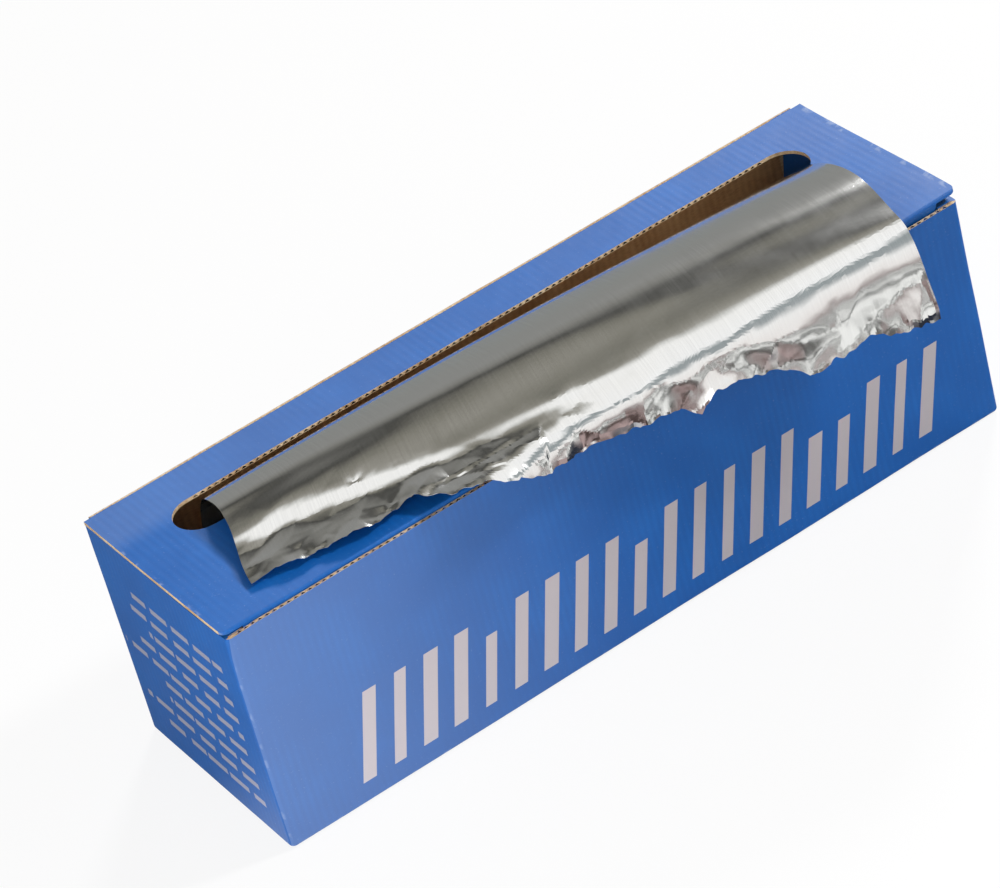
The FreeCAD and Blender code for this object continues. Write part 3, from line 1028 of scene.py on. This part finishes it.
class CubicLine:
    """A smooth line through knots, as a natural cubic spline."""

    def __init__(self, stops: Grid, knots: Grid) -> None:
        """Solves the spline.

        Args:
            stops: The knots' places along the line.
            knots: The knots, one row each.
        """
        self.stops, self.knots = stops, knots
        gaps = np.diff(stops)
        count = len(stops)
        system = np.eye(count)
        right = np.zeros_like(knots)
        for i in range(1, count - 1):
            system[i, i - 1 : i + 2] = gaps[i - 1], 2 * (gaps[i - 1] + gaps[i]), gaps[i]
            right[i] = 6 * ((knots[i + 1] - knots[i]) / gaps[i] - (knots[i] - knots[i - 1]) / gaps[i - 1])
        self.bends = np.linalg.solve(system, right)

    def points(self, places: Grid) -> Grid:
        """Gives points on the line.

        Args:
            places: The points' places along the line.

        Returns:
            The points, one row each.
        """
        span = np.clip(np.searchsorted(self.stops, places) - 1, 0, len(self.stops) - 2)
        low, high = self.stops[span], self.stops[span + 1]
        gap = (high - low)[:, None]
        a, b = (high - places)[:, None], (places - low)[:, None]
        m0, m1 = self.bends[span], self.bends[span + 1]
        return (
            (m0 * a**3 + m1 * b**3) / (6 * gap)
            + (self.knots[span] / gap - m0 * gap / 6) * a
            + (self.knots[span + 1] / gap - m1 * gap / 6) * b
        )


class FlatPlace(NamedTuple):
    """Where the sheet's points are on the flat foil, in millimetres.

    They are measured from the foil's left side, drawn from the slot, left to the torn edge, and
    past the long fold.
    """

    across: Grid
    along: Grid
    to_edge: Grid
    past: Grid


@dataclass
class DrawnFoil:
    """The loose end of the foil: up from the roll, through the slot, over the lid and torn off in front.

    Its sizes are in millimetres, but for the gauge. The arch, hang, drift, crown and torn edge tables
    repeat the part's own. The other tables give stations across the foil, and a value at each.
    """

    width: float = 300.0
    left_end: float = -140.0
    half_width: float = HALF_WIDTH / MM
    lid_top: float = HEIGHT / MM
    roll_axis: float = ROLL_AXIS / MM
    roll_radius: float = 45.8
    hug: float = math.radians(14)
    spacing: float = 13.5
    columns: int = 420
    rows_below: int = 12
    rows: int = 96
    arch_row: int = 30
    gauge: float = 0.00009
    smooth_angle: float = 4.5
    gap_to_lid: float = 0.45
    gap_to_front: float = 0.6
    calm: int = 9
    teeth: tuple = ((9.0, 1.3), (3.6, 0.9), (1.7, 0.65))
    teeth_seed: int = 41
    facets: tuple = ((21.0, 7), (10.0, 19), (4.4, 31))
    facet_jitter: float = 0.36
    facet_reach: float = 140.0
    arch_left: tuple = (
        (81.0, -0.3), (68.5, 6.4), (57.0, 8.8), (44.0, 7.2), (30.0, 3.7), (15.0, 1.8), (0.5, 1.5),
    )
    arch_right: tuple = (
        (68.0, -0.3), (55.3, 6.8), (40.8, 12.2), (23.7, 15.5), (8.5, 14.1), (-3.7, 13.0), (-12.3, 10.6),
    )
    hang_left: tuple = ((-4.0, -2.3), (-5.5, -9.8), (-6.5, -18.0))
    hang_right: tuple = ((-18.7, 1.8), (-23.2, -11.7), (-27.3, -28.0))
    drift_left: tuple = (1.5, 0.0, -1.5, -5.0, -10.5, -14.5, -16.0, -17.0, -17.5, -18.0)
    drift_right: tuple = (-6.0, -6.6, -7.9, -10.1, -12.2, -14.6, -15.8, -16.7, -17.0, -17.0)
    crown_up: tuple = (1.7, 1.7, 2.7, 4.7, 4.5, 3.5, 1.0, 0.0, 0.0, 0.0)
    crown_back: tuple = (2.7, 2.7, 2.7, 2.7, 0.0, 0.0, 0.0, 0.0, 0.0, 0.0)
    fold_line: tuple = ((0.0, 36.0, 90.0, 150.0, 210.0, 300.0), (43.0, 51.0, 67.5, 78.0, 86.0, 94.0))
    fold_depth: tuple = ((0.0, 20.0, 150.0, 225.0), (0.15, 0.46, 0.40, 0.0))
    crest_line: tuple = (
        (0.0, 36.0, 90.0, 150.0, 210.0, 264.0, 300.0),
        (26.0, 28.5, 39.0, 47.5, 58.5, 66.0, 70.0),
    )
    crest_turn: tuple = (
        (0.0, 36.0, 90.0, 150.0, 210.0, 264.0, 300.0),
        (0.76, 0.76, 0.55, 0.10, -0.34, -0.12, 0.0),
    )
    star: tuple = (54.0, 53.5)
    star_depth: float = 0.24
    rise: tuple = ((0.0, 36.0, 90.0, 120.0, 150.0), (0.07, 0.10, 0.12, 0.06, 0.0))
    rise_reach: float = 24.0
    flare: tuple = ((0.0, 60.0, 84.0, 98.0, 150.0), (0.0, 0.0, 0.34, 0.34, 0.0))
    flare_from: float = 82.0
    flare_reach: float = 12.0
    lip: tuple = (
        (0.0, 104.0, 128.0, 180.0, 205.0, 225.0, 262.0, 280.0),
        (0.0, 0.0, 0.19, 0.20, 0.04, 0.12, 0.12, 0.0),
    )
    lip_reach: float = 13.0
    curl: float = 2.6
    curl_reach: float = 10.0
    torn_edge: tuple = (
        (0.0, 69.3), (24.6, 72.6), (43.8, 76.7), (51.6, 78.5), (60.3, 75.9), (68.7, 76.4), (77.4, 83.7),
        (81.9, 88.4), (102.9, 93.8), (120.6, 99.6), (145.2, 102.8), (163.5, 104.1), (172.2, 105.9),
        (185.4, 108.6), (190.8, 113.0), (199.8, 107.7), (209.4, 107.8), (224.4, 113.1), (233.7, 115.6),
        (240.0, 121.9), (255.9, 120.7), (268.5, 119.2), (278.4, 122.1), (300.0, 126.6),
    )

    def line(self, share: float) -> CubicLine:
        """Gives the foil's line down its length, with places counted in knots from the slot.

        Args:
            share: Where the line runs, as a share of the foil's width from its left side.

        Returns:
            The line.
        """
        left = np.array(self.arch_left + self.hang_left)
        right = np.array(self.arch_right + self.hang_right)
        crown = 4 * share * (1 - share)
        both = left + (right - left) * share
        drift = np.array(self.drift_left) + (np.array(self.drift_right) - np.array(self.drift_left)) * share
        start_x = self.left_end + self.width * share
        beyond = np.column_stack((
            start_x + drift,
            both[:, 0] - self.half_width + crown * np.array(self.crown_back),
            self.lid_top + both[:, 1] + crown * np.array(self.crown_up),
        ))
        across, up = beyond[0, 1], beyond[0, 2] - self.roll_axis
        touch = math.atan2(up, across) - math.acos(self.roll_radius / math.hypot(across, up))
        below = []
        for angle in (touch - self.hug, touch):
            level = self.roll_axis + self.roll_radius * math.sin(angle)
            below.append(np.array((start_x, self.roll_radius * math.cos(angle), level)))
        below.append((below[1] + beyond[0]) / 2)
        stops = [float(i) for i in range(len(beyond))]
        for lower, upper in zip(reversed(below), reversed([*below[1:], beyond[0]])):
            stops.insert(0, stops[0] - float(np.linalg.norm(upper - lower)) / self.spacing)
        return CubicLine(np.array(stops), np.vstack((below, beyond)))

    def tear(self) -> Grid:
        """Works out the torn edge with its small teeth.

        Returns:
            The drawn length at each column.
        """
        table = np.array(self.torn_edge)
        places = np.linspace(0, self.width, self.columns + 1)
        chance = random.Random(self.teeth_seed)
        edge = np.interp(places, table[:, 0], table[:, 1])
        for step, depth in self.teeth:
            stations, heights, at = [], [], 0.0
            while at < self.width + step:
                stations.append(at)
                heights.append(chance.uniform(-depth, depth))
                at += step * chance.uniform(0.55, 1.6)
            edge += np.interp(places, stations, heights) * np.clip(places / 12, 0.25, 1)
        return edge

    def crumple(self, step: float, seed: int) -> Callable[[Grid, Grid], Grid]:
        """Makes a field of flat facets with random corner heights of about -1 to 1.

        Args:
            step: The facets' usual size in millimetres.
            seed: The seed of the random draws.

        Returns:
            A function that gives the field's height at points across and along.
        """
        chance = random.Random(seed)
        sides = (-2 * step, self.width + 2 * step)
        ends = (-2 * step, self.facet_reach + 2 * step)
        corners = [Vector((x, y)) for x in sides for y in ends]
        down = 0.0
        while down < self.facet_reach + step:
            along = -step
            while along < self.width + step:
                right = along + chance.uniform(-self.facet_jitter, self.facet_jitter) * step
                lower = down + chance.uniform(-self.facet_jitter, self.facet_jitter) * step
                corners.append(Vector((right, lower)))
                along += step
            down += step
        points, _, faces, *_ = delaunay_2d_cdt(corners, [], [], 0, 0.0001)
        heights = np.array([chance.uniform(-1, 1) for _ in points])
        flat = np.array([tuple(p) for p in points])

        def field(across: Grid, along: Grid) -> Grid:
            """Gives the facets' height.

            Args:
                across: Millimetres from the foil's left side.
                along: Millimetres drawn from the slot.

            Returns:
                The height at each point.
            """
            result = np.zeros_like(across)
            for face in faces:
                a, b, c = flat[face[0]], flat[face[1]], flat[face[2]]
                low, high = np.minimum(np.minimum(a, b), c), np.maximum(np.maximum(a, b), c)
                inside = (across >= low[0]) & (across <= high[0]) & (along >= low[1]) & (along <= high[1])
                if not inside.any():
                    continue
                px, py = across[inside], along[inside]
                area = (b[0] - a[0]) * (c[1] - a[1]) - (c[0] - a[0]) * (b[1] - a[1])
                wb = ((px - a[0]) * (c[1] - a[1]) - (c[0] - a[0]) * (py - a[1])) / area
                wc = ((b[0] - a[0]) * (py - a[1]) - (px - a[0]) * (b[1] - a[1])) / area
                wa = 1 - wb - wc
                hit = (wa >= -1e-9) & (wb >= -1e-9) & (wc >= -1e-9)
                value = wa * heights[face[0]] + wb * heights[face[1]] + wc * heights[face[2]]
                kept = result[inside]
                kept[hit] = value[hit]
                result[inside] = kept
            return result

        return field

    def crumpling(self, flat: FlatPlace) -> Grid:
        """Gives the facets' relief: slight on the arch, more by the fold and full towards the tear.

        Args:
            flat: The points' places on the flat foil.

        Returns:
            The relief at each point, in millimetres.
        """
        coarse, middle, fine = (
            self.crumple(size, seed)(flat.across, flat.along) for size, seed in self.facets
        )
        loose = np.clip((flat.past + 6) / 24, 0, 1)
        near_tear = np.clip(1 - flat.to_edge / 24, 0, 1)
        very_near = np.clip(1 - flat.to_edge / 10, 0, 1)
        by_fold = np.exp(-(((flat.past - 3) / 11) ** 2)) * np.clip(1 - flat.across / 190, 0, 1)
        height = coarse * (0.05 + 0.95 * loose)
        height += middle * (0.01 + 0.50 * loose + 0.60 * near_tear * loose + 0.28 * by_fold)
        height += fine * (0.10 * near_tear * loose + 0.26 * very_near + 0.06 * by_fold)
        return height

    def bends(self, flat: FlatPlace) -> Grid:
        """Gives the relief of the long fold, of the crest before it and of the small star crease.

        Args:
            flat: The points' places on the flat foil.

        Returns:
            The relief at each point, in millimetres.
        """
        sharp = 1.5 + 1.1 * np.abs(np.sin(flat.across / 23.0))
        height = -np.interp(flat.across, *self.fold_depth) * np.tanh(flat.past / sharp)
        past_crest = flat.along - np.interp(flat.across, *self.crest_line)
        height -= np.interp(flat.across, *self.crest_turn) * (np.tanh(past_crest / 4.5) + 1)
        aside, ahead = flat.across - self.star[0], flat.along - self.star[1]
        spoke = np.cos(3 * np.arctan2(ahead, aside) + 0.7)
        height -= self.star_depth * np.exp(-np.hypot(aside, ahead) / 5.0) * (1 + 0.5 * spoke)
        return height

    def leans(self, flat: FlatPlace) -> Grid:
        """Gives the relief of the stretches that lean out past the fold, turn under or curl at the tear.

        Args:
            flat: The points' places on the flat foil.

        Returns:
            The relief at each point, in millimetres.
        """
        height = -eased(flat.across, self.lip) * np.clip(self.lip_reach - flat.to_edge, 0, self.lip_reach)
        height += eased(flat.across, self.rise) * np.clip(flat.past - 4, 0, self.rise_reach)
        height += eased(flat.across, self.flare) * np.clip(flat.along - self.flare_from, 0, self.flare_reach)
        waves = np.array([noise.noise(Vector((place / 17.0, 3.7, 0.0))) for place in flat.across[0]])
        height += waves[None, :] * self.curl * np.clip(1 - flat.to_edge / self.curl_reach, 0, 1) ** 2
        return height

    def relief(self, across: Grid, along: Grid) -> Grid:
        """Gives how far the foil stands out from its smooth line, fading to nothing at the slot.

        Args:
            across: Millimetres from the foil's left side.
            along: Millimetres drawn from the slot.

        Returns:
            The relief at each point, in millimetres.
        """
        window = np.ones(2 * self.calm + 1) / (2 * self.calm + 1)
        border = np.convolve(np.pad(along[-1], self.calm, mode="edge"), window, mode="valid")
        past = along - np.interp(across, *self.fold_line)
        flat = FlatPlace(across, along, border[None, :] - along, past)
        height = self.crumpling(flat) + self.bends(flat) + self.leans(flat)
        return height * np.clip((along + 2) / 14, 0, 1)

    def lattice(self) -> tuple[Grid, Grid, Grid]:
        """Works out the sheet's points on its smooth lines.

        Returns:
            The points, and each point's place across and along the flat foil.
        """
        edge = self.tear()
        total = self.rows_below + self.rows
        spots = np.zeros((total + 1, self.columns + 1, 3))
        along = np.zeros((total + 1, self.columns + 1))
        places = np.linspace(0, self.width, self.columns + 1)
        for column, place in enumerate(places):
            line = self.line(place / self.width)
            fine = np.linspace(line.stops[0], line.stops[-1], 900)
            track = line.points(fine)
            reach = np.concatenate(([0.0], np.cumsum(np.linalg.norm(np.diff(track, axis=0), axis=1))))
            slot_reach = np.interp(0.0, fine, reach)
            goals = np.concatenate((
                np.linspace(0, slot_reach, self.rows_below, endpoint=False),
                slot_reach + np.linspace(0, min(edge[column], reach[-1] - slot_reach), self.rows + 1),
            ))
            spots[:, column] = line.points(np.interp(goals, reach, fine))
            along[:, column] = goals - slot_reach
        across = np.repeat(places[None, :], total + 1, axis=0)
        return spots, across, along

    def crease(self, spots: Grid, across: Grid, along: Grid) -> Grid:
        """Moves the sheet's points out by the relief, and keeps them clear of the lid and the front.

        Args:
            spots: The points on the smooth lines.
            across: Millimetres from the foil's left side.
            along: Millimetres drawn from the slot.

        Returns:
            The creased points.
        """
        normal = np.cross(np.gradient(spots, axis=1), np.gradient(spots, axis=0))
        normal /= np.linalg.norm(normal, axis=2, keepdims=True)
        if normal[self.rows_below + self.arch_row, self.columns // 2, 2] < 0:
            normal = -normal
        creased = spots + normal * self.relief(across, along)[:, :, None]
        lowest = self.lid_top + self.gap_to_lid
        nearest = -self.half_width - self.gap_to_front
        over_lid = (creased[:, :, 1] > nearest - 0.2) & (along > 6)
        creased[over_lid & (creased[:, :, 2] < lowest), 2] = lowest
        in_front = (creased[:, :, 2] < lowest) & (along > 40)
        creased[in_front & (creased[:, :, 1] > nearest), 1] = nearest
        return creased

    def sheet_mesh(self, points: Grid, across: Grid, along: Grid) -> bpy.types.Mesh:
        """Makes the sheet's mesh of four-sided faces, with the flat foil as its map.

        Args:
            points: The sheet's points.
            across: Millimetres from the foil's left side.
            along: Millimetres drawn from the slot.

        Returns:
            The mesh.
        """
        index = np.arange(across.size).reshape(across.shape)
        corners = (index[:-1, :-1], index[:-1, 1:], index[1:, 1:], index[1:, :-1])
        quads = np.stack(corners, axis=-1).reshape(-1, 4)
        mesh = bpy.data.meshes.new("drawn_foil")
        mesh.from_pydata((points.reshape(-1, 3) * MM).tolist(), [], quads.tolist())
        layer = mesh.uv_layers.new(name="sheet")
        flat = np.stack((across, along), axis=-1).reshape(-1, 2) * 0.01
        order = np.empty(len(mesh.loops), dtype=np.int32)
        mesh.loops.foreach_get("vertex_index", order)
        layer.data.foreach_set("uv", flat[order].astype(np.float32).ravel())
        return mesh

    def build(self, finish: bpy.types.Material) -> bpy.types.Object:
        """Makes the drawn-out foil's piece.

        Args:
            finish: The foil's material.

        Returns:
            The piece.
        """
        spots, across, along = self.lattice()
        mesh = self.sheet_mesh(self.crease(spots, across, along), across, along)
        mesh.materials.append(finish)
        piece = bpy.data.objects.new("drawn_foil", mesh)
        bpy.context.scene.collection.objects.link(piece)
        open_up(piece)
        bpy.ops.mesh.normals_make_consistent(inside=False)
        bpy.ops.object.mode_set(mode="OBJECT")
        on_arch = mesh.polygons[(self.rows_below + self.arch_row) * self.columns + self.columns // 2]
        if on_arch.normal.z < 0:
            mesh.flip_normals()
        wall = piece.modifiers.new("gauge", "SOLIDIFY")
        wall.thickness = self.gauge
        wall.offset = 0.0
        choose(piece)
        bpy.ops.object.modifier_apply(modifier=wall.name)
        smooth(piece, self.smooth_angle)

        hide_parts("foil_web")
        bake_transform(piece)
        return piece


# studio


@dataclass
class Studio:
    """Camera, white floor, soft lamps and a softly banded surround for the metal.

    A band's place is a share of the turn about x, from the horizon in front, down, behind and over
    the top to the front again. A lamp has its direction, distance, size and power in watts.
    """

    lens: float = 175.76
    sensor: float = 36.0
    camera_place: tuple = (-0.69505, -1.4266, 1.2108)
    camera_right: tuple = (0.8047, -0.5528, -0.2166)
    camera_up: tuple = (0.4817, 0.3945, 0.7825)
    camera_back: tuple = (-0.3471, -0.734, 0.5837)
    aim: tuple = (0.0, 0.0, 0.06)
    ambient: float = 0.32
    lamps: tuple = (
        ("haze", (0.62, 0.62, 0.48), 7.0, 1.2, 300.0),
        ("key", (0.72, -0.27, 0.62), 2.2, 0.30, 33.0),
        ("front", (-0.30, -0.90, 0.22), 2.2, 0.7, 1.4),
        ("left", (-0.82, -0.50, 0.30), 0.62, 0.25, 1.6),
    )
    bands: tuple = (
        (0.0, (0.24, 0.18, 0.175)),
        (0.40, (0.25, 0.26, 0.25)),
        (0.572, (0.275, 0.275, 0.264)),
        (0.606, (0.235, 0.232, 0.215)),
        (0.626, (0.163, 0.160, 0.147)),
        (0.640, (0.035, 0.035, 0.0336)),
        (0.650, (0.135, 0.130, 0.113)),
        (0.660, (0.220, 0.212, 0.178)),
        (0.684, (0.340, 0.325, 0.288)),
        (0.694, (0.66, 0.66, 0.6336)),
        (0.714, (1.02, 1.01, 0.99)),
        (0.838, (1.02, 1.02, 1.02)),
        (0.866, (0.32, 0.36, 0.37)),
        (0.905, (0.38, 0.41, 0.42)),
        (0.935, (1.02, 1.01, 1.00)),
        (0.982, (0.96, 0.92, 0.90)),
        (1.0, (0.26, 0.20, 0.195)),
    )
    floor_size: float = 24.0
    floor_level: float = -0.0006
    floor_colour: Colour = ink(236, 235, 234)
    floor_glow: float = 0.86
    rosy: tuple = ((0.075, 0.050, 0.046), (0.48, 0.36, 0.35))
    plain: tuple = ((0.12, 0.125, 0.12), (1.0, 1.0, 0.98))
    bright_to_dim: tuple = ((1.30, 1.30, 1.35), (0.03, 0.035, 0.05))
    behind: Colour = (0.26, 0.27, 0.26)

    def camera(self) -> None:
        """Places the camera at the photograph's angle."""
        lens = bpy.data.cameras.new("camera")
        lens.sensor_width = self.sensor
        lens.lens = self.lens
        lens.clip_start = 0.05
        holder = bpy.data.objects.new("camera", lens)
        bpy.context.scene.collection.objects.link(holder)
        turned = Matrix((self.camera_right, self.camera_up, self.camera_back)).transposed().to_4x4()
        turned.translation = self.camera_place
        holder.matrix_world = turned
        bpy.context.scene.camera = holder

    def lamp(self, name: str, toward: tuple, distance: float, size: float, power: float) -> None:
        """Adds a soft square lamp that looks at the carton.

        Args:
            name: The lamp's name.
            toward: The direction from the carton to the lamp.
            distance: How far away it stands.
            size: The side of its square.
            power: Its power in watts.
        """
        light = bpy.data.lights.new(name, "AREA")
        light.size = size
        light.energy = power
        holder = bpy.data.objects.new(name, light)
        direction = Vector(toward).normalized()
        holder.location = Vector(self.aim) + direction * distance
        holder.rotation_euler = direction.to_track_quat("Z", "Y").to_euler()
        holder.visible_camera = False
        bpy.context.scene.collection.objects.link(holder)

    def surround(self) -> None:
        """Makes the world: white to the camera, and soft bands of light and shade to the metal."""
        world = bpy.data.worlds.new("studio")
        bpy.context.scene.world = world
        world.use_nodes = True
        graph = Graph(world.node_tree)
        ray = graph.add("LightPath").outputs
        direction = graph.add("TexCoord").outputs["Generated"]
        _, y, z = graph.add("SeparateXYZ", {0: direction}).outputs
        turn = graph.calc("MULTIPLY_ADD", graph.calc("ARCTAN2", z, y), 1 / math.tau, 0.5)
        sky = graph.add("Background", {"Color": WHITE, "Strength": self.ambient})
        seen = graph.add("Background", {"Color": WHITE, "Strength": 1.0})
        gloss = graph.add("Background", {"Color": graph.ramp(turn, self.bands), "Strength": 1.0})
        first = graph.add("MixShader", {0: ray["Is Glossy Ray"], 1: sky.outputs[0], 2: gloss.outputs[0]})
        white = graph.calc("MAXIMUM", ray["Is Camera Ray"], ray["Is Transmission Ray"])
        last = graph.add("MixShader", {0: white, 1: first.outputs[0], 2: seen.outputs[0]})
        output = graph.add("OutputWorld")
        graph.put(output.inputs[0], last.outputs[0])

    def mirrored(self, graph: Graph) -> Socket:
        """Gives the floor that the metal mirrors: patches in front, a bright left and a grey rear.

        Args:
            graph: The floor's graph.

        Returns:
            The colour.
        """
        vector, x, y, _ = graph.place()
        patches = graph.span(graph.blur(graph.stretch(vector, (5.0, 3.0, 1.0)), 1.0, 2.0), 0.44, 0.56)
        rosy = graph.mix(patches, *self.rosy)
        plain = graph.mix(patches, *self.plain)
        ahead = graph.mix(graph.span(x, 0.08, 0.20), rosy, plain)
        near = graph.mix(graph.span(x, -0.20, 0.08), *self.bright_to_dim)
        front = graph.mix(graph.span(y, -0.16, -0.24), near, ahead)
        return graph.mix(graph.span(y, -0.05, 0.02), front, self.behind)

    def floor(self) -> None:
        """Adds the floor: white to the camera, with the carton's faint shadow."""
        bpy.ops.object.select_all(action="DESELECT")
        bpy.ops.mesh.primitive_plane_add(size=self.floor_size, location=(0, 0, self.floor_level))
        ground = bpy.context.object
        ground.name = "floor"
        bpy.ops.object.transform_apply(location=True, rotation=False, scale=False)
        made, graph = material("floor")
        ray = graph.add("LightPath").outputs
        matt = graph.add("BsdfDiffuse", {"Color": self.floor_colour})
        glow = graph.add("Emission", {"Color": WHITE, "Strength": 1.0})
        seen = graph.calc("MAXIMUM", ray["Is Camera Ray"], ray["Is Transmission Ray"])
        share = graph.times(seen, self.floor_glow)
        both = graph.add("MixShader", {0: share, 1: matt.outputs[0], 2: glow.outputs[0]})
        shine = graph.add("Emission", {"Color": self.mirrored(graph), "Strength": 1.0})
        last = graph.add("MixShader", {0: ray["Is Glossy Ray"], 1: both.outputs[0], 2: shine.outputs[0]})
        output = graph.add("OutputMaterial")
        graph.put(output.inputs[0], last.outputs[0])
        ground.data.materials.append(made)

    def build(self) -> None:
        """Sets up the whole studio."""
        bpy.context.scene.view_settings.view_transform = "Standard"
        self.camera()
        self.surround()
        self.floor()
        for lamp in self.lamps:
            self.lamp(*lamp)


def main() -> None:
    """Builds the classes in order and reports each piece."""
    noise.seed_set(WAVINESS_SEED)
    Studio().build()
    board = (
        PrintFinish().build(),
        KraftFinish().build(),
        KraftFinish(name="raw_edge", light=ink(226, 204, 168), dark=ink(176, 138, 98)).build(),
        # The liner darkened to near black for the flute openings: painted shade inside the flutes.
        KraftFinish(name="flute_mouth", light=ink(58, 40, 26), dark=ink(30, 20, 13)).build(),
    )
    pieces = [Carton().build(board), Lid().build(board)]
    pieces += WoundRoll().build(WoundFinish().build(), TubeFinish().build())
    pieces.append(DrawnFoil().build(FoilFinish().build()))
    for piece in pieces:
        LOG.info("%s: %d faces", piece.name, len(piece.data.polygons))


if __name__ == "__main__":
    logging.basicConfig(level=logging.INFO, format="%(name)s %(message)s")
    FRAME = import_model()
    main()
